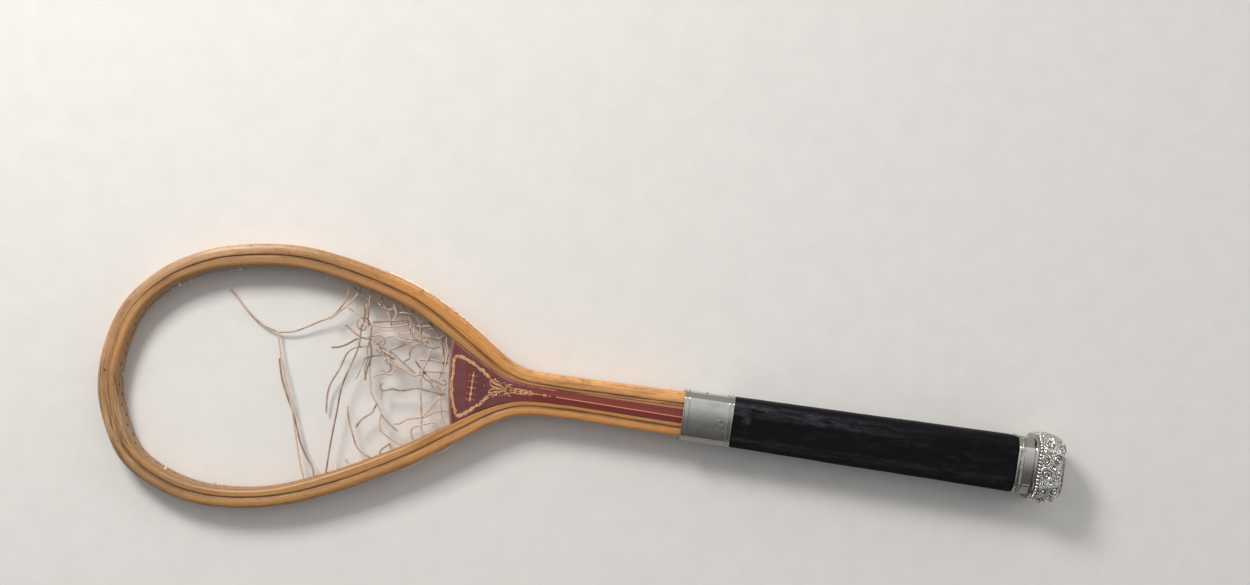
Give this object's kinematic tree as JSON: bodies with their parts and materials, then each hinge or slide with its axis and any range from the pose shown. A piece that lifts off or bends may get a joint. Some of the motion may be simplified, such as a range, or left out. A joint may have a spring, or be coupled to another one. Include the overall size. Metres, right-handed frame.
{
  "type": "real tennis racket",
  "caption": "Antique real tennis racket with a lopsided ash bow, remains of gut stringing, a dark throat wedge, silver collars, a velvet grip and a silver butt cap.",
  "frame": {"origin": "on the surface it rests on, under the middle of its box", "axes": "+X along the handle towards the butt, +Y up the face towards the flatter shoulder of the head, +Z square to the string plane, out of the front face"},
  "size_m": [0.6854, 0.1918, 0.0434],
  "materials": {
    "ash": "old varnish, satin",
    "stained_wood": "dark red lacquer with gilt lines, satin",
    "filler_wood": "dark red stain, satin",
    "handle_wood": "bare",
    "velvet": "worn pile",
    "silver": "chased silver, slightly tarnished",
    "gut": "dry twisted gut"
  },
  "bodies": {
    "root": {"ash_bow": "ash", "throat_wedge": "stained_wood", "shaft_filler": "filler_wood", "handle_cheek_front": "handle_wood", "handle_cheek_back": "handle_wood", "handle_slip_upper": "handle_wood", "handle_slip_lower": "handle_wood", "velvet_sleeve": "velvet", "upper_collar_band": "silver", "upper_collar_front_wires": "silver", "upper_collar_rear_wires": "silver", "collar_pins": "silver", "lower_collar_bead": "silver", "lower_collar_milled_band": "silver", "lower_collar_plain_band": "silver", "cap_flange": "silver", "butt_cap": "silver", "butt_block": "handle_wood", "butt_plate": "silver", "gut_long_strand": "gut", "gut_short_strand": "gut", "gut_hanging_pair": "gut", "gut_left_cross": "gut", "gut_left_whisker": "gut", "gut_mains": "gut", "gut_crosses": "gut", "gut_knots": "gut", "gut_stubs": "gut", "gut_outer_run_upper": "gut", "gut_outer_run_lower": "gut"}
  },
  "joints": []
}
